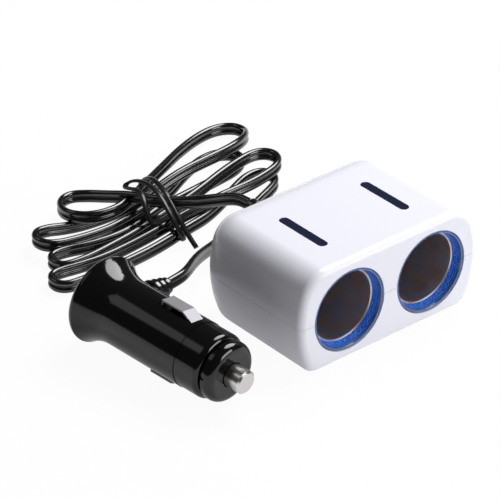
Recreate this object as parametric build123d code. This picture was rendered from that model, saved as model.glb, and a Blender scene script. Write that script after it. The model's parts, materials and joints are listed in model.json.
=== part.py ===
from build123d import *
import os
from math import asin, atan2, cos, hypot, pi, radians, sin, sqrt, tan

# A twin lighter-socket splitter: a white two-shell housing with two sockets, a flat twin lead tied
# in a loose hank, and a fused plug. Millimetres. The origin is the middle of the housing's foot,
# the sockets look along -Y, and +Z is up.

# Housing
WIDTH = 68.6                # over the bowed sides
HEIGHT = 33.0
DEPTH = 48.0                # front face to back face
SIDE_CROWN = 4.0            # how far each side bows out beyond its long edges
CORNER_RADIUS = 4.5         # long edges between the sides and the top or the foot
BACK_PLAN_RADIUS = 12.0     # back corners, seen from above
BACK_EDGE_RADIUS = 6.5      # back edges, seen from the side
BACK_STEPS = 5              # sections that round each stage of the back
FRONT_EDGE_RADIUS = 1.2
WALL = 2.2
FRONT_WALL = 3.0
SEAM_DEPTH = 0.35           # the groove where the shells meet
SEAM_WIDTH = 0.3
SLIP = 0.05                 # clearance of pieces that are pressed or dropped into place

# Sockets
SOCKET_PITCH = 31.4
BORE_RADIUS = 10.6
TUBE_WALL = 0.5
TUBE_LENGTH = 35.6
TUBE_LEAD_IN = 0.8          # length of the flared lip at the mouth of the tube
RING_RADIUS = 13.2
RING_MOUTH_RADIUS = 10.85
RING_SLEEVE_RADIUS = 12.1
RING_FLANGE = 1.6
RING_DEPTH = 4.4            # front face to the lip of the tube
RING_RECESS = 0.3
RING_BEVEL = 0.9
RING_ROUND = 0.4
BASE_LENGTH = 4.0           # insulating cup behind the tube
BASE_RECESS = 2.4
BASE_RIM = 2.0
CONTACT_RADIUS = 3.5
CONTACT_HEAD = 1.7
RIVET_RADIUS = 1.5
RIVET_TAIL = 0.6
FEED_BAR_HEIGHT = 6.0
FEED_BAR_THICKNESS = 0.6
STRAP_WIDTH = 5.0
STRAP_THICKNESS = 0.5
STRAP_STATION = 30.5        # stations are behind the front face
CRADLE_THICKNESS = 2.0
CRADLE_STATIONS = (7.0, 35.5)

# Light windows in the top, and the board under them
WINDOW_LENGTH = 19.8
WINDOW_WIDTH = 3.2
WINDOW_STATION = 20.6
WINDOW_RECESS = 0.15
WINDOW_FLANGE = 0.5
WINDOW_FLANGE_LAP = 1.0
LAMP_SIZE = (3.5, 2.8)
LAMP_GAP = 0.1
BOARD_SIZE = (42.0, 10.0, 0.4)
BOARD_GAP = 0.15            # above the tubes
POST_RADIUS = 1.4
POST_SPACING = 6.0

# Case screws on the middle line, driven from below
SCREW_STATIONS = (10.0, 38.5)
SCREW_RADIUS = 1.2
SCREW_HEAD_RADIUS = 2.5
SCREW_HEAD = 1.6
SCREW_LENGTH = 20.0
SCREW_WELL_RADIUS = 2.9
SCREW_WELL_DEPTH = 5.0
BOSS_RADIUS_LOW = 4.2
BOSS_RADIUS_HIGH = 3.2
SCREW_CLEARANCE = 0.3

# Plug, along its own axis from the widest ring of the handle
RIM_RADIUS = 13.5
RIM_ROUND = 2.2
DOME_RISE = 4.0
BARREL_RADIUS = 10.3
FLARE_END = 9.5             # where the handle has narrowed to the barrel
SEAM_STATION = 37.8         # half shells end and the nose collar starts
COLLAR_RADIUS = 10.1
COLLAR_END = 46.7
COLLAR_ROUND = 1.8
GROOVE_RADIUS = 8.2
GROOVE_WIDTH = 0.9
TIP_RADIUS = 9.3
TIP_FACE = 51.2
TIP_ROUND = 2.4
TIP_WALL = 1.7
TIP_NOTCH = 1.1             # small driving notches round the tip
TIP_NOTCHES = 6
PIN_RADIUS = 3.6
PIN_END = 56.8
PIN_EDGE = 0.6
PIN_SHOULDER_RADIUS = 5.0
PIN_SHOULDER = 2.4
PIN_TRAVEL = 4.0
PLUG_WALL = 2.0
CAVITY_START = 3.5
SPIGOT_LENGTH = 1.4         # lip of the collar that holds the half shells together
THREAD_RADIUS = 7.4
SKIRT_RADIUS = 5.4
SKIRT_LENGTH = 6.5
RUN_CLEARANCE = 0.3         # between pieces that move past each other
FUSE_RADIUS = 3.1
FUSE_CAP_RADIUS = 3.2
FUSE_CAP = 6.0
FUSE_LENGTH = 30.0
GUIDE_STATIONS = (18.5, 31.0)
GUIDE_THICKNESS = 1.5
TERMINAL_RADIUS = 5.0
TERMINAL_THICKNESS = 1.0
SPRING_RADIUS = 2.4
SPRING_WIRE = 0.6
SPRING_TURNS = 5

# Side contacts: bowed strips that spring in at their rear ends
STRIP_WIDTH = 4.8
STRIP_THICKNESS = 0.5
STRIP_PIVOT_STATION = 12.5
STRIP_FOOT_RADIUS = 7.6     # middle of the foot that lies under the shell
STRIP_RISE_STATION = 23.7
STRIP_TOP_RADIUS = 11.4
STRIP_BEND_STATION = 31.6
STRIP_TIP_STATION = 35.4
STRIP_TIP_RADIUS = 9.6
STRIP_ROOM = 1.9            # room under the strip for its travel
SLOT_START = 22.5
SLOT_END = 36.0

# Where the plug lies beside the housing
PLUG_X = -63.1
PLUG_Y = 29.2
PLUG_TURN = 6.3             # degrees that the nose points towards the housing
PLUG_ROLL = 10.0            # degrees that the upper contact leans towards the housing

# Ribbed cord sleeves: one on the side of the plug, one in the back of the housing
SLEEVE_STATION = 7.2
SLEEVE_NECK_RADIUS = 2.6
SLEEVE_FLANGE_RADIUS = 3.4
SLEEVE_FLANGE = 1.0
SLEEVE_LENGTH = 6.6
SLEEVE_ROOT_RADIUS = 3.6
SLEEVE_TIP_RADIUS = 2.5
SLEEVE_RIBS = 3
SLEEVE_RIB_HEIGHT = 0.55
SLEEVE_RIB_SHARE = 0.6      # of each pitch
GROMMET_LENGTH = 14.0

# Lead and hank: the tails' points run on from the tips of the two sleeves
CORD_RADIUS = 2.1
EXIT_RUN = 4.0              # straight out of each sleeve
HOUSING_TAIL = [
    (-0.5, 46.1, 15.6),
    (-1.9, 50.0, 14.0),
    (-4.5, 53.8, 12.4),
    (-7.4, 57.2, 11.0),
    (-9.2, 60.4, 10.5),
]
PLUG_TAIL = [
    (-36.6, 25.5, 12.9),
    (-32.6, 28.0, 12.1),
    (-26.9, 32.4, 10.4),
    (-19.8, 37.2, 7.9),
    (-13.2, 41.0, 5.6),
    (-6.4, 44.7, 3.9),
    (0.8, 48.4, 2.9),
    (7.4, 51.6, 2.6),
    (13.6, 54.4, 2.5),
    (19.5, 57.6, 2.4),
]
WAIST_PLACE = (-10.0, 69.0)
WAIST_RADIUS = 11.0
WAIST_HEIGHT = 12.6
WAIST_EDGE = 3.0
LOOP_HEIGHT = 9.0
LOOPS = [
    (34.5, 92.0, 8.0),
    (28.0, 68.5, 8.0),
    (25.0, 64.0, 7.5),
    (-27.5, 86.0, 8.0),
    (-43.0, 78.2, 7.0),
    (-45.5, 67.6, 6.0),
    (-52.5, 60.0, 6.0),
]                           # middle of each loop's end, and its radius
TIE_RADIUS = 0.9
TIE_X = -12.5
TIE_FRONT = 58.0
TIE_BACK = 82.0
TIE_CORNER = 5.0
TIE_CHANNEL = 2.6           # room under the hank for the tie

AXIS_Z = HEIGHT / 2
FRONT = -DEPTH / 2
BACK = DEPTH / 2
TUBE_RADIUS = BORE_RADIUS + TUBE_WALL
TUBE_END = RING_DEPTH + TUBE_LENGTH
CAVITY_RADIUS = BARREL_RADIUS - PLUG_WALL
SOCKET_XS = (-SOCKET_PITCH / 2, SOCKET_PITCH / 2)
SIDES = ("left", "right")
STRAP_Y = FRONT + STRAP_STATION
CRADLE_Y = [FRONT + station for station in CRADLE_STATIONS]
WINDOW_Y = FRONT + WINDOW_STATION
SCREW_Y = [FRONT + station for station in SCREW_STATIONS]
BOARD_TOP = AXIS_Z + TUBE_RADIUS + BOARD_GAP + BOARD_SIZE[2]
LAMP_HEIGHT = HEIGHT - WALL - WINDOW_FLANGE - LAMP_GAP - BOARD_TOP


def housing_section(y, half_width, half_height, corner):
    """Flat top and foot with bowed sides, drawn across the housing at depth y."""
    edge = half_width - SIDE_CROWN * half_height / (HEIGHT / 2)
    top = Line((-edge, half_height), (edge, half_height))
    right = ThreePointArc((edge, half_height), (half_width, 0), (edge, -half_height))
    foot = Line((edge, -half_height), (-edge, -half_height))
    left = ThreePointArc((-edge, -half_height), (-half_width, 0), (-edge, half_height))
    outline = make_face([top, right, foot, left])
    outline = fillet(outline.vertices(), corner)
    return Plane((0, y, AXIS_Z), x_dir=(1, 0, 0), z_dir=(0, -1, 0)) * outline


def housing_form(inset, front):
    """The housing's outer form, moved in by inset: straight at the front, rounded at the back."""
    plan_radius = BACK_PLAN_RADIUS - inset
    edge_radius = BACK_EDGE_RADIUS - inset
    corner = CORNER_RADIUS - inset
    back = BACK - inset
    start = back - plan_radius
    full_width = WIDTH / 2 - inset
    full_height = HEIGHT / 2 - inset
    form = extrude(housing_section(front, full_width, full_height, corner), start - front, (0, 1, 0))
    edge_turn = asin((plan_radius - edge_radius) / plan_radius)
    for first_turn, last_turn in ((0, edge_turn), (edge_turn, pi / 2)):
        sections = []
        for step in range(BACK_STEPS + 1):
            turn = first_turn + (last_turn - first_turn) * step / BACK_STEPS
            y = start + plan_radius * sin(turn)
            past_edge = max(0, y - (back - edge_radius))
            half_height = full_height - edge_radius + sqrt(max(0, edge_radius**2 - past_edge**2))
            half_width = full_width - plan_radius * (1 - cos(turn))
            sections.append(housing_section(y, half_width, half_height, corner))
        form += loft(sections)
    return form


def socket_place(x):
    """A socket's own frame: Z runs in from the front face along the socket's axis."""
    return Plane((x, FRONT, AXIS_Z), x_dir=(1, 0, 0), z_dir=(0, 1, 0))


def turned(points):
    """A turned solid: straight lines through (radius, station) points, revolved about Z."""
    return revolve(Plane.XZ * make_face(Polyline(*points, close=True)), Axis.Z)


def disc(radius, start, end):
    """A plain cylinder about Z between two stations."""
    return Pos(0, 0, start) * Cylinder(radius, end - start, align=(Align.CENTER, Align.CENTER, Align.MIN))


def window_outline(grow):
    """A light window seen from above, grown by grow on every side."""
    return SlotOverall(WINDOW_LENGTH + 2 * grow, WINDOW_WIDTH + 2 * grow, rotation=90)


def housing_shells():
    """Upper and lower shell: one hollow form, parted through the socket axes."""
    form = housing_form(0, FRONT)
    form = fillet(form.faces().sort_by(Axis.Y)[0].edges(), FRONT_EDGE_RADIUS)
    inside = housing_form(WALL, FRONT + FRONT_WALL)
    cradles = Part()
    for y in CRADLE_Y:
        cradles += Pos(0, y, AXIS_Z) * Box(WIDTH, CRADLE_THICKNESS, HEIGHT)
    bosses = Part()
    wells = Part()
    for y in SCREW_Y:
        bosses += Pos(0, y) * disc(BOSS_RADIUS_LOW, 0, AXIS_Z)
        bosses += Pos(0, y) * disc(BOSS_RADIUS_HIGH, AXIS_Z, HEIGHT)
        wells += Pos(0, y) * disc(SCREW_WELL_RADIUS, 0, SCREW_WELL_DEPTH)
        wells += Pos(0, y) * disc(SCREW_RADIUS + SCREW_CLEARANCE, SCREW_WELL_DEPTH, AXIS_Z)
        wells += Pos(0, y) * disc(SCREW_RADIUS + SLIP, AXIS_Z, SCREW_WELL_DEPTH + SCREW_LENGTH + SLIP)
    posts = Part()
    for side in (-1, 1):
        post = disc(POST_RADIUS, BOARD_TOP, HEIGHT - WALL / 2)
        posts += Pos(0, WINDOW_Y + side * POST_SPACING / 2) * post
    body = form - inside + (cradles & inside) + (bosses & form) + posts - wells
    for x in SOCKET_XS:
        mouth = disc(RING_SLEEVE_RADIUS + SLIP, 0, FRONT_WALL)
        mouth += disc(RING_RADIUS + SLIP, 0, RING_RECESS + RING_FLANGE)
        mouth += disc(TUBE_RADIUS + SLIP, FRONT_WALL, TUBE_END + BASE_LENGTH)
        body -= socket_place(x) * mouth
        body -= Pos(x, WINDOW_Y, HEIGHT - 2 * WALL) * extrude(window_outline(SLIP), 3 * WALL)
    body -= grommet_place() * disc(SLEEVE_NECK_RADIUS + SLIP, -2 * WALL, WALL)
    seam = Pos(0, 0, AXIS_Z) * Box(2 * WIDTH, 2 * DEPTH, SEAM_WIDTH)
    body -= seam & (form - housing_form(SEAM_DEPTH, FRONT))
    meeting = Plane.XY.offset(AXIS_Z)
    return split(body, meeting, Keep.TOP), split(body, meeting, Keep.BOTTOM)


def ring():
    """Blue mouth ring: a bevelled flange let into the face, with a sleeve behind it."""
    face = RING_RECESS
    back = RING_RECESS + RING_FLANGE
    solid = turned([
        (RING_MOUTH_RADIUS, face + RING_BEVEL),
        (RING_MOUTH_RADIUS + RING_BEVEL, face),
        (RING_RADIUS - RING_ROUND, face),
        (RING_RADIUS, face + RING_ROUND),
        (RING_RADIUS, back),
        (RING_SLEEVE_RADIUS, back),
        (RING_SLEEVE_RADIUS, RING_DEPTH),
        (RING_MOUTH_RADIUS, RING_DEPTH),
    ])
    return solid


def socket_tube():
    """Plain plated tube with a flared lip, butted on the ring."""
    return turned([
        (RING_MOUTH_RADIUS, RING_DEPTH),
        (TUBE_RADIUS, RING_DEPTH),
        (TUBE_RADIUS, TUBE_END),
        (BORE_RADIUS, TUBE_END),
        (BORE_RADIUS, RING_DEPTH + TUBE_LEAD_IN),
    ])


def socket_base():
    """Insulating cup that closes the tube and carries the centre contact."""
    cup = disc(TUBE_RADIUS, TUBE_END, TUBE_END + BASE_LENGTH)
    cup -= disc(BORE_RADIUS - BASE_RIM, TUBE_END, TUBE_END + BASE_RECESS)
    return cup - disc(RIVET_RADIUS + SLIP, TUBE_END, TUBE_END + BASE_LENGTH)


def centre_contact():
    """Brass rivet: a broad head in the cup, a shank through it and a tail behind the feed bar."""
    seat = TUBE_END + BASE_RECESS
    tail = TUBE_END + BASE_LENGTH + FEED_BAR_THICKNESS
    head = disc(CONTACT_RADIUS, seat - CONTACT_HEAD, seat)
    head = fillet(head.edges().sort_by(Axis.Z)[0], CONTACT_HEAD / 3)
    return head + disc(RIVET_RADIUS, seat, tail) + disc(2 * RIVET_RADIUS, tail, tail + RIVET_TAIL)


def feed_bar():
    """Brass bar that links the two centre contacts."""
    y = FRONT + TUBE_END + BASE_LENGTH + FEED_BAR_THICKNESS / 2
    bar = Pos(0, y, AXIS_Z) * Box(SOCKET_PITCH + FEED_BAR_HEIGHT, FEED_BAR_THICKNESS, FEED_BAR_HEIGHT)
    for x in SOCKET_XS:
        bar -= socket_place(x) * disc(RIVET_RADIUS + SLIP, TUBE_END, TUBE_END + 2 * BASE_LENGTH)
    return bar


def earth_strap():
    """Plated strap across the tops of both tubes."""
    z = AXIS_Z + TUBE_RADIUS + STRAP_THICKNESS / 2
    return Pos(0, STRAP_Y, z) * Box(SOCKET_PITCH + STRAP_WIDTH, STRAP_WIDTH, STRAP_THICKNESS)


def light_window():
    """Dark lens, let into its slot from inside and stopped by a flange."""
    lens = extrude(window_outline(0), WALL - WINDOW_RECESS)
    lens += Pos(0, 0, -WINDOW_FLANGE) * extrude(window_outline(WINDOW_FLANGE_LAP), WINDOW_FLANGE)
    return Pos(0, WINDOW_Y, HEIGHT - WALL) * lens


def case_screw():
    """Pan-head screw, head down."""
    head = disc(SCREW_HEAD_RADIUS, SCREW_WELL_DEPTH - SCREW_HEAD, SCREW_WELL_DEPTH)
    head = fillet(head.edges().sort_by(Axis.Z)[0], SCREW_HEAD / 2)
    return head + disc(SCREW_RADIUS, SCREW_WELL_DEPTH, SCREW_WELL_DEPTH + SCREW_LENGTH)


def cord_sleeve(root, length, flange_at):
    """Moulded cord sleeve about Z: inner flange, neck in the wall, and a ribbed taper outside."""
    profile = [
        (0, flange_at - SLEEVE_FLANGE),
        (SLEEVE_FLANGE_RADIUS, flange_at - SLEEVE_FLANGE),
        (SLEEVE_FLANGE_RADIUS, flange_at),
        (SLEEVE_NECK_RADIUS, flange_at),
        (SLEEVE_NECK_RADIUS, root),
    ]
    pitch = length / SLEEVE_RIBS
    for rib in range(SLEEVE_RIBS):
        start = root + rib * pitch
        radius = SLEEVE_ROOT_RADIUS + (SLEEVE_TIP_RADIUS - SLEEVE_ROOT_RADIUS) * rib / (SLEEVE_RIBS - 1)
        profile += [
            (radius + SLEEVE_RIB_HEIGHT / 2, start),
            (radius + SLEEVE_RIB_HEIGHT, start + pitch * SLEEVE_RIB_SHARE / 2),
            (radius, start + pitch * SLEEVE_RIB_SHARE),
            (radius, start + pitch),
        ]
    profile.append((0, root + length))
    return turned(profile)


def grommet_place():
    """The grommet's own frame: Z runs out of the back of the housing."""
    return Plane((0, BACK, AXIS_Z), x_dir=(1, 0, 0), z_dir=(0, 1, 0))


def plug_tilt():
    """The nose-down lean, in radians, of a plug that lies on its rim and on its lower side contact."""
    roll = radians(PLUG_ROLL)
    reach = (STRIP_TOP_RADIUS + STRIP_THICKNESS / 2) * cos(roll) + STRIP_WIDTH / 2 * sin(roll)
    rise = (RIM_RADIUS - RIM_ROUND) - (reach + SLIP)
    return atan2(rise, STRIP_BEND_STATION) + asin(RIM_ROUND / hypot(rise, STRIP_BEND_STATION))


def plug_place():
    """The plug's own frame: Z along its axis to the nose, Y out of the upper contact."""
    turn = radians(PLUG_TURN)
    tilt = plug_tilt()
    height = (RIM_RADIUS - RIM_ROUND) * cos(tilt) + RIM_ROUND
    nose = (sin(turn) * cos(tilt), -cos(turn) * cos(tilt), -sin(tilt))
    level = Plane((PLUG_X, PLUG_Y, height), x_dir=(cos(turn), sin(turn), 0), z_dir=nose)
    return level.location * Rot(0, 0, -PLUG_ROLL)


def flare_arc():
    """Radius of the hollow arc that runs from the rim to the barrel."""
    fall = RIM_RADIUS - BARREL_RADIUS
    return (FLARE_END**2 + fall**2) / (2 * fall)


def handle_radius(station):
    """Outer radius of the handle at a station between the rim and the barrel."""
    return BARREL_RADIUS + flare_arc() - sqrt(flare_arc() ** 2 - (FLARE_END - station) ** 2)


def plug_outline():
    """Half outline of the handle and barrel: domed end, round rim, hollow flare, plain barrel."""
    dome_edge = (RIM_RADIUS - RIM_ROUND, -RIM_ROUND)
    rim_foot = (RIM_RADIUS, 0)
    rim_middle = (RIM_RADIUS - RIM_ROUND + RIM_ROUND * cos(pi / 4), -RIM_ROUND * sin(pi / 4))
    half_way = FLARE_END / 2
    flare_middle = (handle_radius(half_way), half_way)
    dome_top = (0, -RIM_ROUND - DOME_RISE)
    sphere = ((RIM_RADIUS - RIM_ROUND) ** 2 + DOME_RISE**2) / (2 * DOME_RISE)
    half_dome = asin((RIM_RADIUS - RIM_ROUND) / sphere) / 2
    dome_middle = (sphere * sin(half_dome), dome_top[1] + sphere * (1 - cos(half_dome)))
    return make_face([
        Line((0, SEAM_STATION), dome_top),
        ThreePointArc(dome_top, dome_middle, dome_edge),
        ThreePointArc(dome_edge, rim_middle, rim_foot),
        ThreePointArc(rim_foot, flare_middle, (BARREL_RADIUS, FLARE_END)),
        Line((BARREL_RADIUS, FLARE_END), (BARREL_RADIUS, SEAM_STATION)),
        Line((BARREL_RADIUS, SEAM_STATION), (0, SEAM_STATION)),
    ])


def plug_shells():
    """Left and right half of the plug's body, parted on the plane of the side contacts."""
    body = revolve(Plane.XZ * plug_outline(), Axis.Z) - disc(CAVITY_RADIUS, CAVITY_START, SEAM_STATION)
    for station in GUIDE_STATIONS:
        guide = disc(CAVITY_RADIUS, station, station + GUIDE_THICKNESS)
        body += guide - disc(FUSE_CAP_RADIUS + RUN_CLEARANCE, station, station + GUIDE_THICKNESS)
    room_low = STRIP_FOOT_RADIUS - STRIP_THICKNESS / 2 - STRIP_ROOM
    room_high = STRIP_FOOT_RADIUS + STRIP_THICKNESS / 2 + SLIP
    room_start = STRIP_PIVOT_STATION - STRIP_THICKNESS
    slot_width = STRIP_WIDTH + 2 * RUN_CLEARANCE
    for side in (1, -1):
        room = Pos(0, side * (room_low + room_high) / 2, (room_start + SLOT_END) / 2)
        body -= room * Box(slot_width, room_high - room_low, SLOT_END - room_start)
        slot = Pos(0, side * (room_high + RIM_RADIUS) / 2, (SLOT_START + SLOT_END) / 2)
        body -= slot * Box(slot_width, RIM_RADIUS - room_high, SLOT_END - SLOT_START)
    body -= sleeve_place() * disc(SLEEVE_NECK_RADIUS + SLIP, 0, 2 * RIM_RADIUS)
    return split(body, Plane.YZ, Keep.BOTTOM), split(body, Plane.YZ, Keep.TOP)


def sleeve_place():
    """The plug sleeve's own frame, in the plug's frame: Z runs out of the side of the handle, level."""
    roll = radians(PLUG_ROLL)
    return Plane((0, 0, SLEEVE_STATION), x_dir=(0, 0, 1), z_dir=(cos(roll), sin(roll), 0)).location


def plug_collar():
    """Nose collar: holds the half shells at the seam and takes the tip's thread."""
    bore = THREAD_RADIUS + SLIP
    lip = CAVITY_RADIUS - SLIP
    solid = turned([
        (bore, SEAM_STATION - SPIGOT_LENGTH),
        (lip, SEAM_STATION - SPIGOT_LENGTH),
        (lip, SEAM_STATION),
        (COLLAR_RADIUS, SEAM_STATION),
        (COLLAR_RADIUS, COLLAR_END),
        (bore, COLLAR_END),
    ])
    front = solid.edges().filter_by(GeomType.CIRCLE).group_by(Axis.Z)[-1].sort_by(SortBy.RADIUS)[-1]
    return fillet(front, COLLAR_ROUND)


def tip_cap():
    """Screw-on tip: round head with driving notches, narrow neck, skirt inside the collar."""
    neck_end = COLLAR_END + GROOVE_WIDTH
    head = disc(TIP_RADIUS, neck_end, TIP_FACE)
    head = fillet(head.edges().filter_by(GeomType.CIRCLE).sort_by(Axis.Z)[-1], TIP_ROUND)
    solid = head + disc(GROOVE_RADIUS, COLLAR_END, neck_end)
    solid += disc(THREAD_RADIUS, COLLAR_END - SKIRT_LENGTH, COLLAR_END)
    solid -= disc(SKIRT_RADIUS, COLLAR_END - SKIRT_LENGTH, TIP_FACE - TIP_WALL)
    solid -= disc(PIN_RADIUS + RUN_CLEARANCE, COLLAR_END, TIP_FACE)
    notch = Box(2 * TIP_NOTCH, TIP_NOTCH, 2 * TIP_NOTCH)
    for notch_place in PolarLocations(TIP_RADIUS, TIP_NOTCHES):
        solid -= Pos(0, 0, neck_end) * notch_place * notch
    return solid


def centre_pin():
    """Plated pin with a shoulder that stops it inside the tip."""
    stop = TIP_FACE - TIP_WALL
    pin = disc(PIN_RADIUS, stop, PIN_END)
    pin = chamfer(pin.edges().filter_by(GeomType.CIRCLE).sort_by(Axis.Z)[-1], PIN_EDGE)
    return pin + disc(PIN_SHOULDER_RADIUS, stop - PIN_SHOULDER, stop)


def fuse():
    """Cartridge fuse: a tube between two end caps, behind the pin."""
    end = TIP_FACE - TIP_WALL - PIN_SHOULDER
    start = end - FUSE_LENGTH
    caps = disc(FUSE_CAP_RADIUS, start, start + FUSE_CAP) + disc(FUSE_CAP_RADIUS, end - FUSE_CAP, end)
    return caps + disc(FUSE_RADIUS, start, end)


def pin_spring():
    """Coil spring between the feed terminal and the fuse."""
    start = CAVITY_START + TERMINAL_THICKNESS + SPRING_WIRE / 2 + SLIP
    end = TIP_FACE - TIP_WALL - PIN_SHOULDER - FUSE_LENGTH - SPRING_WIRE / 2 - SLIP
    coil = Helix(pitch=(end - start) / SPRING_TURNS, height=end - start, radius=SPRING_RADIUS)
    section = Plane(coil @ 0, z_dir=coil % 0) * Circle(SPRING_WIRE / 2)
    return Pos(0, 0, start) * sweep(section, path=coil, is_frenet=True)


def feed_terminal():
    """Brass disc at the end of the cavity that the spring stands on."""
    return disc(TERMINAL_RADIUS, CAVITY_START, CAVITY_START + TERMINAL_THICKNESS)


def side_contact(side):
    """Bowed strip: round rear end, foot under the shell, flat top, sloped tip. side 1 is up."""
    half = STRIP_THICKNESS / 2
    line = [
        (STRIP_PIVOT_STATION, STRIP_FOOT_RADIUS),
        (STRIP_RISE_STATION, STRIP_FOOT_RADIUS),
        (STRIP_RISE_STATION, STRIP_TOP_RADIUS),
        (STRIP_BEND_STATION, STRIP_TOP_RADIUS),
        (STRIP_TIP_STATION, STRIP_TIP_RADIUS),
    ]
    profile = trace(Polyline(*line), STRIP_THICKNESS)
    profile += Pos(STRIP_PIVOT_STATION, STRIP_FOOT_RADIUS) * Circle(half)
    plane = Plane((0, 0, 0), x_dir=(0, 0, 1), z_dir=(-1, 0, 0))
    strip = extrude(plane * profile, STRIP_WIDTH / 2, both=True)
    return strip if side > 0 else Rot(0, 0, 180) * strip


def cord_tube(sleeve, sleeve_tip, points):
    """A round tube out of a sleeve's tip, with arcs as large as its straight runs allow."""
    corners = [(sleeve * Pos(0, 0, sleeve_tip + run)).position for run in (0, EXIT_RUN)]
    corners += [Vector(*point) for point in points]
    radii = []
    for before, corner, after in zip(corners, corners[1:], corners[2:]):
        arriving = corner - before
        leaving = after - corner
        turn = radians(arriving.get_angle(leaving))
        radii.append(0.45 * min(arriving.length, leaving.length) / tan(turn / 2))
    path = FilletPolyline(*corners, radius=radii)
    tube = sweep(Plane(corners[0], z_dir=corners[1] - corners[0]) * Circle(CORD_RADIUS), path=path)
    print("cord length", round(path.length, 1), "radii", [round(radius, 1) for radius in radii])
    print("tube volume", round(tube.volume, 1), "of", round(path.length * pi * CORD_RADIUS**2, 1))
    return tube


def cord_hank():
    """Outer form of the loose hank: loops that fan out both ways from a raised, tied waist."""
    waist = Pos(*WAIST_PLACE) * disc(WAIST_RADIUS, 0, WAIST_HEIGHT)
    waist = fillet(waist.edges().group_by(Axis.Z)[-1], WAIST_EDGE)
    fan = Sketch()
    for x, y, radius in LOOPS:
        root = Pos(*WAIST_PLACE) * Circle(WAIST_RADIUS)
        tip = Pos(x, y) * Circle(radius)
        fan += make_hull(root.edges() + tip.edges())
    hank = waist + extrude(fan, LOOP_HEIGHT)
    channel = Box(2 * TIE_CHANNEL, DEPTH, TIE_CHANNEL, align=(Align.CENTER, Align.CENTER, Align.MIN))
    return hank - Pos(TIE_X, (TIE_FRONT + TIE_BACK) / 2) * channel


def hank_tie():
    """Wire tie: one closed loop round the waist of the hank."""
    low = TIE_RADIUS + SLIP
    high = WAIST_HEIGHT + TIE_RADIUS
    depth = TIE_BACK - TIE_FRONT
    middle = Plane((TIE_X, (TIE_FRONT + TIE_BACK) / 2, (low + high) / 2), x_dir=(0, 1, 0), z_dir=(1, 0, 0))
    loop = middle * RectangleRounded(depth, high - low, TIE_CORNER)
    path = loop.wire()
    return sweep(Plane(path @ 0, z_dir=path % 0) * Circle(TIE_RADIUS), path=path)


PLUG = plug_place()
SLEEVE_ROOT = handle_radius(SLEEVE_STATION - SLEEVE_ROOT_RADIUS - SLEEVE_RIB_HEIGHT) + SLIP

parts = {}
parts["upper_shell"], parts["lower_shell"] = housing_shells()
for name, x in zip(SIDES, SOCKET_XS):
    parts["ring_" + name] = socket_place(x) * ring()
    parts["socket_tube_" + name] = socket_place(x) * socket_tube()
    parts["socket_base_" + name] = socket_place(x) * socket_base()
    parts["centre_contact_" + name] = socket_place(x) * centre_contact()
    parts["light_window_" + name] = Pos(x, 0, 0) * light_window()
parts["feed_bar"] = feed_bar()
parts["earth_strap"] = earth_strap()
parts["light_board"] = Pos(0, WINDOW_Y, BOARD_TOP - BOARD_SIZE[2] / 2) * Box(*BOARD_SIZE)
parts["lamps"] = Compound(children=[
    Pos(x, WINDOW_Y, BOARD_TOP + LAMP_HEIGHT / 2) * Box(*LAMP_SIZE, LAMP_HEIGHT) for x in SOCKET_XS
])
parts["case_screws"] = Compound(children=[Pos(0, y) * case_screw() for y in SCREW_Y])
parts["cord_grommet"] = grommet_place() * cord_sleeve(SLIP, GROMMET_LENGTH, -WALL - SLIP)

parts["plug_shell_left"], parts["plug_shell_right"] = [PLUG * half for half in plug_shells()]
parts["plug_collar"] = PLUG * plug_collar()
parts["tip_cap"] = PLUG * tip_cap()
parts["centre_pin"] = PLUG * centre_pin()
parts["fuse"] = PLUG * fuse()
parts["pin_spring"] = PLUG * pin_spring()
parts["feed_terminal"] = PLUG * feed_terminal()
parts["side_contact_top"] = PLUG * side_contact(1)
parts["side_contact_bottom"] = PLUG * side_contact(-1)
flange_seat = sqrt(CAVITY_RADIUS**2 - SLEEVE_FLANGE_RADIUS**2) - SLIP
parts["cord_sleeve"] = PLUG * sleeve_place() * cord_sleeve(SLEEVE_ROOT, SLEEVE_LENGTH, flange_seat)

parts["cord_tail_housing"] = cord_tube(grommet_place(), SLIP + GROMMET_LENGTH, HOUSING_TAIL)
parts["cord_tail_plug"] = cord_tube(PLUG * sleeve_place(), SLEEVE_ROOT + SLEEVE_LENGTH, PLUG_TAIL)
parts["cord_hank"] = cord_hank()
parts["hank_tie"] = hank_tie()

os.makedirs("parts", exist_ok=True)
for name, shape in parts.items():
    export_step(shape, "parts/" + name + ".step")
print(len(parts), "parts")
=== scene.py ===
# %% [markdown]
# # Lighter-socket splitter, dressed for the camera
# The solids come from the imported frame: a white housing with two sockets, a plug,
# and plain stand-ins for the lead. This file gives every surface its finish, gives the
# housing, rings and tubes a finer form, lays the real flat lead in its hank, ties it, and
# lights it all as in a plain studio.

# %% Frame
import json
from math import atan, atan2, cos, degrees, pi, radians, sin

import bpy
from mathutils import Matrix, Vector


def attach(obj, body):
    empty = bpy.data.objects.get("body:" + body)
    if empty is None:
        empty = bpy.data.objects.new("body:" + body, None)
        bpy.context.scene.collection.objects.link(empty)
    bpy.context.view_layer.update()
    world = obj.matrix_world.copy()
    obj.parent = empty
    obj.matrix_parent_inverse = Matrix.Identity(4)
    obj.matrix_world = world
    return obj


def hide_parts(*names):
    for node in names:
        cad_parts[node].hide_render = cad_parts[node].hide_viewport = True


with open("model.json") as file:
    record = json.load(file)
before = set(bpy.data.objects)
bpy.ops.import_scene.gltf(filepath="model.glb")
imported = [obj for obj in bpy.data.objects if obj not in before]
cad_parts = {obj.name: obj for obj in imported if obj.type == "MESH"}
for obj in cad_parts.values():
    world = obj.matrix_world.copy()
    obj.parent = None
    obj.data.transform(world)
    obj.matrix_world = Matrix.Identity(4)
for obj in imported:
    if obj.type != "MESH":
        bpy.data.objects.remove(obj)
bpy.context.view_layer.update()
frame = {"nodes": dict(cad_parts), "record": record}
nodes = frame["nodes"]
MM = 0.001

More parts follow.
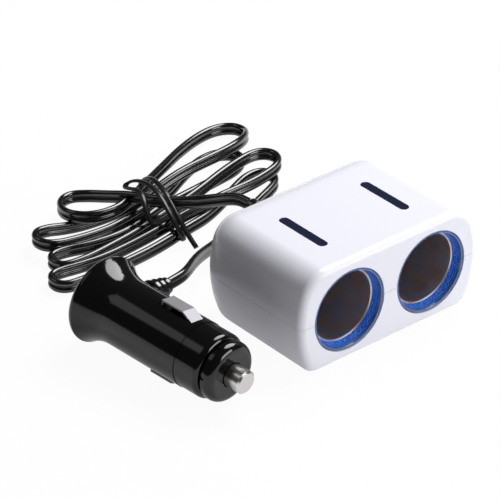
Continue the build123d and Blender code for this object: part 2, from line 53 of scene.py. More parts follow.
# %% [markdown]
# ## Camera
# A long lens, well back, above and to the left of the part, so that parallel edges
# stay nearly parallel. A camera can be set by eye, but this one was solved from the two
# round socket mouths: a circle seen askew is an ellipse, and two of them a known distance
# apart give angle and distance.

# %% Camera
CAMERA_PLACE = Vector((-0.5749, -0.6440, 0.5521))
CAMERA_AZIMUTH = radians(40.091)
CAMERA_ELEVATION = radians(31.708)
LENS = 250.0
SENSOR_WIDTH = 36.0

camera = bpy.data.objects.new("camera", bpy.data.cameras.new("camera"))
bpy.context.scene.collection.objects.link(camera)
camera.data.lens = LENS
camera.data.sensor_width = SENSOR_WIDTH
camera.location = CAMERA_PLACE
camera.rotation_euler = (pi / 2 - CAMERA_ELEVATION, 0, -CAMERA_AZIMUTH)
bpy.context.scene.camera = camera
print("field of view", round(degrees(2 * atan(SENSOR_WIDTH / 2 / LENS)), 2), "degrees")

# %% [markdown]
# ## Floor and backdrop
# The part stands on white with hardly a shadow, in a dark room with a few soft lamps:
# that is why its black plastic is deep black with a few clear reflections. The floor is
# pale paint. The camera sees it mostly as even white, with a share of the real paint
# mixed in, so that it keeps a faint shadow. More lamps could make it white too, but they
# would wash out the part. Gloss surfaces see less of the even white, and a still smaller
# share lights the sides of the part from below, as a bright table does.

# %% Floor and room
FLOOR_SIZE = 6.0
FLOOR_DROP = 0.0002
FLOOR_SHADE = 0.88
ROOM_GLOW = 0.06
EVEN_WHITE = {
    "Is Camera Ray": 0.95, "Is Glossy Ray": 0.45, "Is Transmission Ray": 0.45, "Is Diffuse Ray": 0.3,
}


def node_material(name):
    """A new material and its node tree, with only the output in it."""
    made = bpy.data.materials.new(name)
    made.use_nodes = True
    made.node_tree.nodes.clear()
    made.node_tree.nodes.new("ShaderNodeOutputMaterial")
    return made, made.node_tree


def maths(tree, operation, *values):
    """One sum in a node tree: each value is a number or the output of another node."""
    node = tree.nodes.new("ShaderNodeMath")
    node.operation = operation
    for socket, value in zip(node.inputs, values):
        if isinstance(value, (int, float)):
            socket.default_value = value
        else:
            tree.links.new(value, socket)
    return node.outputs[0]


floor_paint, tree = node_material("floor_paint")
paint = tree.nodes.new("ShaderNodeBsdfDiffuse")
paint.inputs["Color"].default_value = (FLOOR_SHADE, FLOOR_SHADE, FLOOR_SHADE, 1)
even = tree.nodes.new("ShaderNodeEmission")
rays = tree.nodes.new("ShaderNodeLightPath")
white_share = 0.0
for ray, white in EVEN_WHITE.items():
    white_share = maths(tree, "MULTIPLY_ADD", rays.outputs[ray], white, white_share)
mix = tree.nodes.new("ShaderNodeMixShader")
tree.links.new(white_share, mix.inputs["Fac"])
tree.links.new(paint.outputs["BSDF"], mix.inputs[1])
tree.links.new(even.outputs["Emission"], mix.inputs[2])
tree.links.new(mix.outputs["Shader"], tree.nodes["Material Output"].inputs["Surface"])

bpy.ops.mesh.primitive_plane_add(size=FLOOR_SIZE, location=(0, 0, -FLOOR_DROP))
floor = bpy.context.object
floor.name = "floor"
floor.data.materials.append(floor_paint)

room = bpy.data.worlds.new("dark_room")
room.use_nodes = True
room.node_tree.nodes["Background"].inputs["Color"].default_value = (1, 1, 1, 1)
room.node_tree.nodes["Background"].inputs["Strength"].default_value = ROOM_GLOW
bpy.context.scene.world = room
bpy.context.scene.view_settings.view_transform = "Standard"
print("floor", tuple(floor.dimensions[:2]))

# %% [markdown]
# ## Lamps
# Three soft lamps stand round the part. The large round one above on the right gives the
# main light and the broad reflections on the plug, the one in front lifts the two mouths,
# and a weak one behind adds a little light from the other side. One bright sky could light
# it as well, but then the black plastic would look grey all over.

# %% Lamps
LAMP_TARGET = Vector((0, 0.03, 0.01))
# name, place and size in metres, watts, outline
LAMPS = (
    ("key", (0.62, 0.1, 0.85), (0.8, 0.8), 13.8, "DISK"),
    ("back_panel", (-0.5, 0.75, 0.85), (0.7, 0.5), 0.8, "RECTANGLE"),
    ("front_panel", (0.45, -1.0, 0.42), (0.7, 0.5), 7.3, "RECTANGLE"),
)


def softbox(name, place, size, watts, outline):
    """A soft lamp at a place, turned towards the middle of the part."""
    lamp = bpy.data.objects.new(name, bpy.data.lights.new(name, "AREA"))
    lamp.data.shape = outline
    lamp.data.size, lamp.data.size_y = size
    lamp.data.energy = watts
    lamp.location = place
    lamp.rotation_euler = (LAMP_TARGET - Vector(place)).to_track_quat("-Z", "Y").to_euler()
    bpy.context.scene.collection.objects.link(lamp)


for lamp_values in LAMPS:
    softbox(*lamp_values)
print(len(LAMPS), "lamps placed")

# %% [markdown]
# ## Plain finishes
# Moulded gloss plastic, plating and flexible plastic differ in a few numbers: colour,
# roughness, and whether the surface is metal. Most slots of the part need no more, so
# each gets one shader with its values set straight on it. Image textures could add wear,
# but a new part has none.

# %% Plain finishes
def finish(name, colour, roughness, **more):
    """A plain finish: one shader, values set on its own sockets."""
    made, tree = node_material(name)
    shader = tree.nodes.new("ShaderNodeBsdfPrincipled")
    shader.inputs["Base Color"].default_value = (*colour, 1)
    shader.inputs["Roughness"].default_value = roughness
    for socket, value in more.items():
        shader.inputs[socket.replace("_", " ")].default_value = value
    tree.links.new(shader.outputs["BSDF"], tree.nodes["Material Output"].inputs["Surface"])
    return made


FINISHES = {
    "housing_white": finish("housing_gloss", (0.82, 0.82, 0.9), 0.2, Specular_IOR_Level=0.25),
    "nickel": finish("nickel_plate", (0.68, 0.65, 0.64), 0.25, Metallic=1.0),
    "brass": finish("brass", (0.78, 0.58, 0.28), 0.22, Metallic=1.0),
    "steel": finish("zinced_steel", (0.6, 0.6, 0.62), 0.3, Metallic=1.0),
    "insulator": finish("insulator_black", (0.03, 0.03, 0.03), 0.5),
    "window_dark": finish("smoked_window", (0.012, 0.018, 0.045), 0.08),
    "board": finish("board_lacquer", (0.03, 0.16, 0.06), 0.4),
    "lamp": finish("lamp_lens", (0.85, 0.85, 0.8), 0.3),
    "fuse": finish("fuse_glass", (0.8, 0.85, 0.85), 0.1),
    "plug_black": finish("plug_gloss", (0.003, 0.003, 0.0035), 0.1, Specular_IOR_Level=0.48),
    "cord_black": finish("lead_gloss", (0.003, 0.003, 0.004), 0.18, Specular_IOR_Level=1.0),
    "tie_black": finish("tie_satin", (0.006, 0.006, 0.007), 0.3),
}
print(len(FINISHES), "plain finishes")

# %% [markdown]
# ## The blue rings
# Each ring is clear blue plastic: it glows deep blue inside its mouth, where its wall has a
# fine knurl. Its lip is a paler grey-blue, which is a painted reflection of the bright room,
# and its outer edge is dark, which is a painted shadow of the gap round it. Real refraction
# would be slow and noisy, so the glow is light scattered below the surface. The colour goes by
# the distance from the socket's axis, so that one material serves both rings from every side.

# %% Ring finish
right_socket = next(mount for mount in frame["record"]["mounts"] if mount["name"] == "socket_right")
SOCKET_X, SOCKET_Z = right_socket["pos_m"][0], right_socket["pos_m"][2]
RING_MOUTH = 11.4 * MM
RING_EDGE = 13.2 * MM
RING_WALL = 0.6 * MM
RING_GLOW = 2.0 * MM
RING_BLUE = (0.012, 0.2, 0.95)
# painted reflection: the lip's paler grey-blue stands for the bright room reflected in it
LIP_REFLECTION_BLUE = (0.055, 0.13, 0.36)
# painted shadow: the dark blue at the outer edge stands for shade in the gap round the ring
EDGE_SHADOW_BLUE = (0.006, 0.01, 0.04)
RING_STOPS = [(0.26, RING_BLUE), (0.42, LIP_REFLECTION_BLUE), (0.9, LIP_REFLECTION_BLUE), (0.98, EDGE_SHADOW_BLUE)]
KNURLS = 110
KNURL_PITCH = 0.65 * MM
KNURL_HEIGHT = 0.12 * MM


def tint(made, amount, stops):
    """Gives a finish colours that go by an amount from 0 to 1: stops are (amount, colour) pairs."""
    tree = made.node_tree
    ramp = tree.nodes.new("ShaderNodeValToRGB")
    while len(ramp.color_ramp.elements) < len(stops):
        ramp.color_ramp.elements.new(1.0)
    for stop, (place, colour) in zip(ramp.color_ramp.elements, stops):
        stop.position = place
        stop.color = (*colour, 1)
    tree.links.new(amount, ramp.inputs["Fac"])
    tree.links.new(ramp.outputs["Color"], tree.nodes["Principled BSDF"].inputs["Base Color"])


def ring_tint():
    """Clear blue ring: deep blue and knurled inside its mouth, with a painted reflection on its lip and a
    painted shadow at its edge.
    """
    made = finish(
        "ring_tint", RING_BLUE, 0.25,
        Coat_Weight=0.5, Subsurface_Weight=1.0, Subsurface_Scale=RING_GLOW,
    )
    tree = made.node_tree
    place = tree.nodes.new("ShaderNodeSeparateXYZ")
    tree.links.new(tree.nodes.new("ShaderNodeTexCoord").outputs["Object"], place.inputs[0])
    across = maths(tree, "SUBTRACT", maths(tree, "ABSOLUTE", place.outputs["X"]), SOCKET_X)
    up = maths(tree, "SUBTRACT", place.outputs["Z"], SOCKET_Z)
    squares = maths(tree, "MULTIPLY_ADD", up, up, maths(tree, "MULTIPLY", across, across))
    grown = maths(tree, "SUBTRACT", maths(tree, "SQRT", squares), RING_MOUTH)
    # the ramp paints the lip's reflection and the edge's shadow, going by distance from the axis
    tint(made, maths(tree, "DIVIDE", grown, RING_EDGE - RING_MOUTH), RING_STOPS)
    round_wave = maths(tree, "SINE", maths(tree, "MULTIPLY", maths(tree, "ARCTAN2", up, across), KNURLS))
    deep_wave = maths(tree, "SINE", maths(tree, "MULTIPLY", place.outputs["Y"], 2 * pi / KNURL_PITCH))
    inside = maths(tree, "LESS_THAN", grown, RING_WALL)
    knurl = maths(tree, "MULTIPLY", round_wave, maths(tree, "MULTIPLY", deep_wave, inside))
    bump = tree.nodes.new("ShaderNodeBump")
    bump.inputs["Distance"].default_value = KNURL_HEIGHT
    tree.links.new(knurl, bump.inputs["Height"])
    tree.links.new(bump.outputs["Normal"], tree.nodes["Principled BSDF"].inputs["Normal"])
    return made


FINISHES["ring_blue"] = ring_tint()
print("ring finish round x", round(SOCKET_X / MM, 2), "mm, z", round(SOCKET_Z / MM, 2), "mm")

# %% [markdown]
# ## The two other platings
# The drawn tubes inside the sockets are slightly mottled brown and blue, which a noise
# texture on the object's own coordinates gives. The plug's contact strips have a finish of
# their own: their plating is duller than the rest, and their colour is painted darker too,
# as painted shade for the shadow under the plug. All the other solids take the finish of
# their slot.

# %% Tube and strip plating, and finishes onto the solids
PLATE_GREY = (0.5, 0.46, 0.5)
MOTTLE_SCALE = 160.0
MOTTLE_STOPS = [(0.36, (0.74, 0.58, 0.5)), (0.5, (0.7, 0.66, 0.7)), (0.64, (0.58, 0.64, 0.8))]


def tube_plate():
    """Plating inside the sockets, slightly mottled brown and blue."""
    made = finish("tube_plate", PLATE_GREY, 0.39, Metallic=1.0)
    tree = made.node_tree
    mottle = tree.nodes.new("ShaderNodeTexNoise")
    mottle.inputs["Scale"].default_value = MOTTLE_SCALE
    tree.links.new(tree.nodes.new("ShaderNodeTexCoord").outputs["Object"], mottle.inputs["Vector"])
    tint(made, mottle.outputs["Fac"], MOTTLE_STOPS)
    return made


plated = tube_plate()
# painted shade: the strips' dark grey stands partly for shade under the plug, beside their duller plate
dull_shaded_strip_plate = finish("dull_shaded_strip_plate", (0.25, 0.24, 0.26), 0.52, Metallic=1.0)
for piece in frame["record"]["subparts"]:
    mesh = nodes[piece["node"]].data
    mesh.materials.clear()
    mesh.materials.append(FINISHES[piece["material_slot"]])
for name in ("side_contact_top", "side_contact_bottom"):
    nodes[name].data.materials[0] = dull_shaded_strip_plate
print(len(FINISHES), "finishes by slot, and two more platings")

# %% [markdown]
# ## The housing's form
# The solids' housing is a plain rounded block. The real one is softer: its sides are
# crowned, its top edges are rounder than its foot, and its back is drawn in and rounded
# over. A bevel on a box would give one radius everywhere. A row of sections from front to
# back, each with its own width, height and corners, gives every edge the radius it needs.

# %% Sections of the housing
WIDTH, HEIGHT, DEPTH = 68.6, 33.0, 48.0
FRONT, BACK = -DEPTH / 2, DEPTH / 2
SIDE_CROWN = 4.0
TOP_CORNER, FOOT_CORNER = 9.0, 4.5
BACK_PLAN, BACK_EDGE, FRONT_EDGE = 12.0, 10.0, 2.4
CURVE_STEPS = 12


def spaced(first, last, count=CURVE_STEPS):
    """Evenly spaced values from the first to the last."""
    return [first + (last - first) * k / count for k in range(count + 1)]


def half_section(half_width, half_height, top_corner, foot_corner):
    """Right half of a section of the housing, from the top to the foot, as (x, z) pairs."""
    crown = SIDE_CROWN * half_height / (HEIGHT / 2)
    bow = (half_height**2 + crown**2) / (2 * crown)
    middle = half_width - bow
    halves = []
    for corner in (top_corner, foot_corner):
        rise = half_height - corner
        run = ((bow - corner) ** 2 - rise**2) ** 0.5
        meet = atan2(rise, run)
        arc = [(middle + run + corner * cos(a), rise + corner * sin(a)) for a in spaced(pi / 2, meet)]
        halves.append(arc + [(middle + bow * cos(a), bow * sin(a)) for a in spaced(meet, 0)[1:]])
    top, foot = halves
    return top + [(x, -z) for x, z in reversed(foot[:-1])]


def housing_rows(inset, front, front_edge):
    """Stations of the housing's form, made smaller by an inset, as (y, half width, half height)."""
    half_width, half_height = WIDTH / 2 - inset, HEIGHT / 2 - inset
    plan, edge, back = BACK_PLAN - inset, BACK_EDGE - inset, BACK - inset
    rows = []
    for a in spaced(0, pi / 2):
        shrink = front_edge * (1 - sin(a))
        rows.append((front + front_edge * (1 - cos(a)), half_width - shrink, half_height - shrink))
    for a in spaced(0, pi / 2):
        y = back - plan * (1 - sin(a))
        past = max(0, y - (back - edge))
        drawn_in = half_height - edge + max(0, edge**2 - past**2) ** 0.5
        rows.append((y, half_width - plan * (1 - cos(a)), drawn_in))
    return rows


print(len(housing_rows(0, FRONT, FRONT_EDGE)), "sections from front to back")

# %% Skin through the sections
def skin(name, sections, stations):
    """A closed mesh through equal-count (x, z) sections at stations along y, all in millimetres."""
    count = len(sections[0])
    verts = [(x * MM, y * MM, z * MM) for section, y in zip(sections, stations) for x, z in section]
    faces = [tuple(reversed(range(count))), tuple(range(len(verts) - count, len(verts)))]
    for k in range(len(sections) - 1):
        for j in range(count):
            i = (j + 1) % count
            faces.append((k * count + j, k * count + i, (k + 1) * count + i, (k + 1) * count + j))
    mesh = bpy.data.meshes.new(name)
    mesh.from_pydata(verts, [], faces)
    made = bpy.data.objects.new(name, mesh)
    bpy.context.scene.collection.objects.link(made)
    return made


def housing_form(name, inset, front, front_edge):
    """The housing's form as a closed block, its foot on the floor plane plus the inset."""
    sections, stations = [], []
    for y, half_width, half_height in housing_rows(inset, front, front_edge):
        share = half_height / (HEIGHT / 2)
        top_corner, foot_corner = (TOP_CORNER - inset) * share, (FOOT_CORNER - inset) * share
        right = half_section(half_width, half_height, top_corner, foot_corner)
        ring = right + [(-x, z) for x, z in reversed(right)]
        sections.append([(x, HEIGHT / 2 + z) for x, z in ring])
        stations.append(y)
    return skin(name, sections, stations)


housing_block = housing_form("housing_block", 0, FRONT, FRONT_EDGE)
print("housing block", len(housing_block.data.polygons), "faces")

# %% [markdown]
# ## Hollow and openings
# A moulded housing is a thin wall round the works. The same form, one wall smaller, is cut
# out of the block, then the seats and mouths of the rings, the slots of the windows, the
# hole of the grommet and the screw wells in the foot. Boolean modifiers could stay live;
# here each becomes mesh at once, so that the next cut starts from a plain mesh.

# %% Hollow and openings
WALL, FRONT_WALL, HOLLOW_EDGE = 2.2, 3.0, 0.5
SOCKET_MM, AXIS_MM = SOCKET_X / MM, SOCKET_Z / MM
RING_SEAT_RADIUS, RING_SEAT_DEPTH = 13.25, 1.95
MOUTH_RADIUS = 12.15
WINDOW_ENDS, WINDOW_RADIUS = (-11.7, 4.9), 1.6
GROMMET_HOLE = 2.65
WELL_PLACES, WELL_RADIUS, WELL_DEPTH = (-14.0, 14.5), 2.9, 5.0
OVERCUT = 1
ROUND_SIDES = 96


def drum_cutter(x, z, radius, first, last):
    """A cutter: a cylinder along y between two stations."""
    ring = [(x + radius * cos(a), z + radius * sin(a)) for a in spaced(2 * pi, 0, ROUND_SIDES)[:-1]]
    return skin("cutter", [ring, ring], [first, last])


def slot_cutter(x, ends, radius, low, high):
    """A cutter: an upright slot with round ends at two y, or a drum where both are the same."""
    near_end, far_end = spaced(2 * pi, pi, ROUND_SIDES // 2), spaced(pi, 0, ROUND_SIDES // 2)[1:-1]
    ring = [(x + radius * cos(a), ends[0] + radius * sin(a)) for a in near_end]
    ring += [(x + radius * cos(a), ends[1] + radius * sin(a)) for a in far_end]
    made = skin("cutter", [ring, ring], [-high, -low])
    for vertex in made.data.vertices:
        a, b, c = vertex.co
        vertex.co = (a, c, -b)
    return made


def settle(piece):
    """Turns a piece's modifiers into its mesh."""
    mesh = bpy.data.meshes.new_from_object(piece.evaluated_get(bpy.context.evaluated_depsgraph_get()))
    piece.modifiers.clear()
    piece.data = mesh


def cut(piece, tool, operation="DIFFERENCE"):
    """Cuts a piece with a tool, which is then gone."""
    boolean = piece.modifiers.new("cut", "BOOLEAN")
    boolean.solver = "EXACT"
    boolean.operation = operation
    boolean.object = tool
    settle(piece)
    bpy.data.objects.remove(tool)


cut(housing_block, housing_form("housing_hollow", WALL, FRONT + FRONT_WALL, HOLLOW_EDGE))
for x in (-SOCKET_MM, SOCKET_MM):
    cut(housing_block, drum_cutter(x, AXIS_MM, RING_SEAT_RADIUS, FRONT - OVERCUT, FRONT + RING_SEAT_DEPTH))
    cut(housing_block, drum_cutter(x, AXIS_MM, MOUTH_RADIUS, FRONT + OVERCUT, FRONT + FRONT_WALL + OVERCUT))
    cut(housing_block, slot_cutter(x, WINDOW_ENDS, WINDOW_RADIUS, HEIGHT - WALL - OVERCUT, HEIGHT + OVERCUT))
cut(housing_block, drum_cutter(0, AXIS_MM, GROMMET_HOLE, BACK - WALL - OVERCUT, BACK + OVERCUT))
for y in WELL_PLACES:
    cut(housing_block, slot_cutter(0, (y, y), WELL_RADIUS, -OVERCUT, WELL_DEPTH))
print("hollow housing", len(housing_block.data.polygons), "faces")

# %% [markdown]
# ## Two halves
# The real housing is moulded as an upper and a lower half, which meet at the height of the
# socket axes. One block is cut twice, so both halves fit each other, and each gives up half
# a tenth of a millimetre at the seam, so that it shows as a fine line. Sharp edges are
# marked by angle and the normals weighted by area, which keeps the large faces even.

# %% Two halves
SEAM = 0.05
SHARP_ANGLE = radians(30)


def block_cutter(x, y, z):
    """A cutter: a box between pairs of x, y and z."""
    ring = [(x[0], z[1]), (x[1], z[1]), (x[1], z[0]), (x[0], z[0])]
    return skin("cutter", [ring, ring], y)


for name, low, high in (
    ("upper", AXIS_MM + SEAM, HEIGHT + 2 * OVERCUT), ("lower", -2 * OVERCUT, AXIS_MM - SEAM),
):
    half = bpy.data.objects.new("housing_" + name, housing_block.data.copy())
    bpy.context.scene.collection.objects.link(half)
    keep = block_cutter((-WIDTH, WIDTH), (FRONT - 2 * OVERCUT, BACK + 2 * OVERCUT), (low, high))
    cut(half, keep, "INTERSECT")
    half.data.shade_smooth()
    half.data.set_sharp_from_angle(angle=SHARP_ANGLE)
    half.modifiers.new("even", "WEIGHTED_NORMAL").keep_sharp = True
    settle(half)
    half.data.materials.clear()
    half.data.materials.append(FINISHES["housing_white"])
    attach(half, "housing")
    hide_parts(name + "_shell")
    print(half.name, len(half.data.polygons), "faces")
bpy.data.objects.remove(housing_block)

# %% [markdown]
# ## Rings and tubes
# A ring and a tube are round about their socket's axis: a stepped ring with a conical wall,
# and a drawn tube with a narrow lead-in. A Screw modifier could turn their profiles. A short
# loop does the same here, closes the seam by counting round to the first row, and has every
# face pointing outwards from the start.

# %% Rings and tubes
RING_PROFILE = [
    (11.4, 3.2), (12.2, 0.7), (12.4, 0.3), (12.8, 0.3), (13.2, 0.7), (13.2, 1.9), (12.1, 1.9), (12.1, 3.2),
]
TUBE_PROFILE = [
    (11.25, 3.2), (11.4, 3.2), (11.4, 4.0), (11.1, 6.5),
    (11.1, 40.0), (10.6, 40.0), (10.6, 6.5), (11.0, 3.45),
]


def turned(name, profile, x):
    """A piece turned about a socket's axis: its profile is (radius, depth behind the front) pairs."""
    count = len(profile)
    verts, faces = [], []
    for k in range(ROUND_SIDES):
        a = 2 * pi * k / ROUND_SIDES
        verts += [((x + r * cos(a)) * MM, (FRONT + d) * MM, (AXIS_MM + r * sin(a)) * MM) for r, d in profile]
        n = (k + 1) % ROUND_SIDES
        faces += [
            (k * count + j, k * count + (j + 1) % count, n * count + (j + 1) % count, n * count + j)
            for j in range(count)
        ]
    mesh = bpy.data.meshes.new(name)
    mesh.from_pydata(verts, [], faces)
    mesh.shade_smooth()
    mesh.set_sharp_from_angle(angle=SHARP_ANGLE)
    made = bpy.data.objects.new(name, mesh)
    bpy.context.scene.collection.objects.link(made)
    return made


for side, x in (("left", -SOCKET_MM), ("right", SOCKET_MM)):
    for kind, profile, made_of, slot in (
        ("ring", RING_PROFILE, FINISHES["ring_blue"], "ring_blue"),
        ("socket_tube", TUBE_PROFILE, plated, "nickel"),
    ):
        piece = turned("turned_" + kind + "_" + side, profile, x)
        piece.data.materials.append(made_of)
        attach(piece, "housing")
        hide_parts(kind + "_" + side)
print("rings and tubes turned,", ROUND_SIDES, "sides")

# %% [markdown]
# ## The lead's line
# One flat twin lead joins the housing and the plug. It is limp and gathered in a loose hank,
# four loops to the left and four to the right of a tie. Its line is one smooth spline from
# the housing's grommet to the plug's sleeve. A simulated rope would settle into loops of
# its own; control points, loop by loop, lay every fold where it belongs.

# %% Route of the lead
LEAD_WIDTH = 4.2 * MM
HOUSING_TAIL = [
    (0, 38.05, 16.5), (0, 42.05, 16.5), (-0.5, 46.1, 15.6), (-1.9, 50.0, 14.0), (-4.5, 53.8, 12.8),
    (-7.4, 57.2, 11.8), (-10.4, 61.8, 10.8),
]
FAR_LEFT_LOOP = [
    (-13.4, 68.0, 9.6), (-16.4, 76.5, 8.4), (-19.2, 84.4, 6.0), (-22.0, 90.4, 4.6), (-26.2, 93.8, 4.4),
    (-31.0, 92.6, 4.6), (-34.4, 87.8, 5.2), (-35.2, 82.4, 6.2), (-32.6, 77.8, 6.6), (-27.2, 75.4, 6.6),
    (-20.5, 75.4, 6.6),
]
FAR_RIGHT_LOOP = [
    (-10.0, 79.6, 6.8), (0.0, 85.2, 5.4), (9.0, 90.0, 4.4), (18.0, 94.8, 3.4), (28.0, 98.6, 2.7),
    (36.2, 99.8, 2.3), (41.6, 97.2, 2.3), (42.2, 91.8, 3.0), (38.4, 86.4, 4.8), (32.2, 82.4, 6.5),
    (25.0, 80.8, 6.8), (16.0, 80.4, 6.8), (6.0, 79.8, 6.6), (-3.0, 79.2, 5.0),
]
UPPER_LEFT_LOOP = [
    (-10.0, 78.6, 3.4), (-18.5, 79.4, 2.3), (-30.8, 80.6, 2.2), (-37.5, 82.6, 2.4), (-42.5, 83.6, 3.4),
    (-47.3, 83.2, 4.2), (-50.0, 80.5, 4.4), (-50.0, 76.7, 4.4), (-47.3, 74.0, 4.2), (-41.0, 73.2, 3.4),
    (-30.0, 72.8, 2.4), (-20.0, 73.4, 2.4),
]
INNER_RIGHT_LOOP = [
    (-10.0, 74.8, 3.4), (0.0, 78.0, 2.3), (9.0, 83.0, 2.2), (18.0, 87.0, 2.2), (25.6, 87.8, 2.2),
    (31.0, 84.8, 2.2), (31.6, 79.8, 2.2), (26.8, 76.4, 2.2), (17.0, 75.2, 2.2), (4.0, 73.8, 2.3),
]
LOWER_LEFT_LOOP = [
    (-10.0, 71.2, 3.4), (-20.0, 68.8, 2.3), (-29.0, 68.2, 2.2), (-38.0, 69.6, 2.2), (-44.6, 72.0, 2.2),
    (-49.6, 72.4, 2.2), (-51.9, 70.1, 2.2), (-51.9, 66.7, 2.2), (-49.6, 64.4, 2.2), (-42.0, 63.8, 2.3),
    (-33.0, 64.6, 2.4), (-23.0, 65.6, 2.6),
]
NEAR_RIGHT_LOOP = [
    (-10.0, 67.2, 3.8), (3.5, 68.6, 5.4), (15.0, 71.4, 6.4), (25.0, 73.8, 6.4), (31.2, 74.4, 6.4),
    (34.8, 72.6, 6.4), (36.0, 69.2, 6.4), (34.4, 65.6, 6.4), (30.6, 63.2, 6.4), (24.0, 61.6, 6.4),
    (17.0, 60.8, 6.4), (6.0, 60.8, 6.4),
]
NEAR_LEFT_LOOP = [
    (-7.0, 61.8, 4.8), (-19.0, 61.4, 3.2), (-31.0, 61.4, 2.2), (-40.0, 61.2, 2.2), (-48.0, 62.4, 2.2),
    (-52.4, 63.5, 2.2), (-56.2, 63.6, 2.2), (-58.5, 61.3, 2.2), (-58.5, 57.9, 2.2), (-56.2, 55.6, 2.2),
    (-51.8, 55.1, 2.2), (-45.0, 54.9, 2.2), (-34.0, 54.8, 2.2), (-22.0, 55.6, 2.3),
]
LAST_RIGHT_LOOP = [
    (-10.0, 57.2, 3.2), (0.0, 59.6, 2.3), (10.0, 63.6, 2.2), (18.0, 67.6, 2.2), (24.6, 70.2, 2.2),
    (30.0, 70.0, 2.2), (32.4, 66.2, 2.2), (30.0, 61.8, 2.2), (25.0, 59.2, 2.3), (19.5, 57.0, 2.4),
]
PLUG_TAIL = [
    (13.6, 54.4, 2.5), (7.4, 51.6, 2.6), (0.8, 48.4, 2.9), (-6.4, 44.7, 3.9), (-13.2, 41.0, 5.6),
    (-19.8, 37.2, 7.9), (-26.9, 32.4, 10.4), (-32.6, 28.0, 12.1), (-36.6, 25.5, 12.9),
    (-40.11, 24.5, 13.13), (-44.09, 24.06, 13.13),
]
LEAD_ROUTE = (
    HOUSING_TAIL + FAR_LEFT_LOOP + FAR_RIGHT_LOOP + UPPER_LEFT_LOOP + INNER_RIGHT_LOOP
    + LOWER_LEFT_LOOP + NEAR_RIGHT_LOOP + NEAR_LEFT_LOOP + LAST_RIGHT_LOOP + PLUG_TAIL
)
print(len(LEAD_ROUTE), "control points")

# %% Smooth line
LINE_STEPS = 8
LINE_ORDER = 3
NEAREST = 0.1 * MM


def smooth_line(name, route):
    """The points of a smooth spline whose control points are a route in millimetres."""
    curve = bpy.data.curves.new(name, "CURVE")
    curve.dimensions = "3D"
    curve.resolution_u = LINE_STEPS
    spline = curve.splines.new("NURBS")
    spline.points.add(len(route) - 1)
    for point, place in zip(spline.points, route):
        point.co = (*(v * MM for v in place), 1)
    spline.order_u = LINE_ORDER
    spline.use_endpoint_u = True
    holder = bpy.data.objects.new(name, curve)
    bpy.context.scene.collection.objects.link(holder)
    drawn = bpy.data.meshes.new_from_object(holder.evaluated_get(bpy.context.evaluated_depsgraph_get()))
    line = []
    for vertex in drawn.vertices:
        if not line or (vertex.co - line[-1]).length > NEAREST:
            line.append(vertex.co.copy())
    bpy.data.objects.remove(holder)
    bpy.data.curves.remove(curve)
    bpy.data.meshes.remove(drawn)
    return line


lead_line = smooth_line("lead_line", LEAD_ROUTE)

# %% [markdown]
# ## The lead's section
# The lead is two round cores side by side, joined by a thin web, 4.2 mm across, and it stands
# on edge in its loops. A curve's own bevel could let the flat section twist on the way.
# So the outline is carried along the line point by point, always as upright as it can be.

# %% Twin section along the line
CORE_RADIUS = LEAD_WIDTH / 4
CORE_SIDES = 14
WEB_HALF = 0.45 * MM


def twin_section():
    """Outline of the lead's section: two round cores joined by a thin web, as (across, up) pairs."""
    reach = pi - atan(WEB_HALF / (CORE_RADIUS**2 - WEB_HALF**2) ** 0.5)
    half = []
    for k in range(CORE_SIDES + 1):
        angle = reach - 2 * reach * k / CORE_SIDES
        half.append((CORE_RADIUS * sin(angle), CORE_RADIUS * (1 + cos(angle))))
    return half + [(-across, -up) for across, up in half]


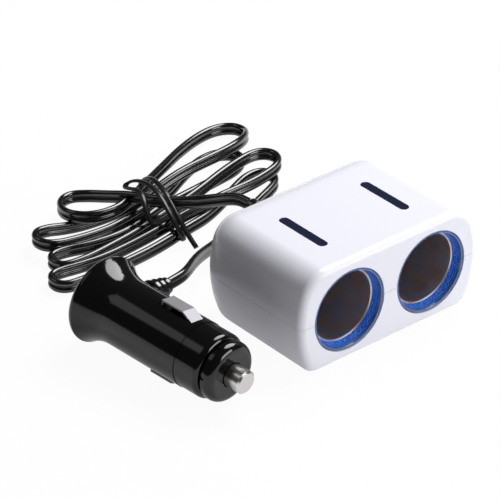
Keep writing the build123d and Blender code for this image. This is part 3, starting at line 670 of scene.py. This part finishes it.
def carry_section(name, line, section, upright):
    """A closed mesh: an anticlockwise section carried along a line, as near to upright as it can be."""
    verts, faces = [], []
    count = len(section)
    for k, place in enumerate(line):
        along = (line[min(k + 1, len(line) - 1)] - line[max(k - 1, 0)]).normalized()
        across = along.cross(upright).normalized()
        up = across.cross(along)
        verts += [place + across * a + up * b for a, b in section]
    for k in range(len(line) - 1):
        for j in range(count):
            i = (j + 1) % count
            faces.append((k * count + j, (k + 1) * count + j, (k + 1) * count + i, k * count + i))
    faces.append(tuple(range(count)))
    faces.append(tuple((len(line) - 1) * count + j for j in reversed(range(count))))
    mesh = bpy.data.meshes.new(name)
    mesh.from_pydata(verts, [], faces)
    mesh.shade_smooth()
    piece = bpy.data.objects.new(name, mesh)
    bpy.context.scene.collection.objects.link(piece)
    return piece


lead = carry_section("lead", lead_line, twin_section(), Vector((0, 0, 1)))
lead.data.materials.append(FINISHES["cord_black"])
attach(lead, "housing")
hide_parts("cord_tail_housing", "cord_tail_plug", "cord_hank")
print("lead mesh", len(lead.data.polygons), "faces")

# %% [markdown]
# ## The tie
# A flat plastic tie with a wire core holds the hank. It was wound twice round the waist by
# hand, so its turns lean, one end is curled back and the other sticks out in front. A plain
# band would look like a ring. It is the same kind of mesh as the lead instead: a section,
# here a flat oval, carried along a smooth line.

# %% Tie round the hank
TIE_WIDTH = 1.8 * MM
TIE_THICKNESS = 1.0 * MM
TIE_SIDES = 12
TIE_ROUTE = [
    (-12.2, 49.5, 1.2), (-12.6, 53.6, 4.6), (-12.6, 58.0, 8.9), (-11.4, 64.4, 12.9), (-9.6, 71.0, 13.2),
    (-8.4, 76.4, 12.4), (-8.0, 80.6, 9.8), (-8.4, 82.6, 5.4), (-9.4, 80.4, 1.2), (-10.4, 70.0, 0.7),
    (-11.2, 60.0, 0.7), (-12.8, 54.2, 1.4), (-14.4, 54.8, 5.4), (-14.9, 58.6, 9.8), (-13.8, 64.8, 13.4),
    (-12.4, 71.4, 13.4), (-12.0, 77.0, 12.4), (-12.8, 81.0, 10.6), (-14.8, 81.2, 9.2), (-15.6, 78.0, 10.4),
    (-15.8, 73.6, 12.2), (-17.0, 69.0, 12.2), (-18.8, 65.4, 9.2), (-18.6, 62.2, 5.4),
]
oval = [
    (TIE_THICKNESS / 2 * cos(2 * pi * k / TIE_SIDES), TIE_WIDTH / 2 * sin(2 * pi * k / TIE_SIDES))
    for k in range(TIE_SIDES)
]
tie = carry_section("tie", smooth_line("tie_line", TIE_ROUTE), oval, Vector((1, 0, 0)))
tie.data.materials.append(FINISHES["tie_black"])
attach(tie, "housing")
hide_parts("hank_tie")
print("tie mesh", len(tie.data.polygons), "faces")
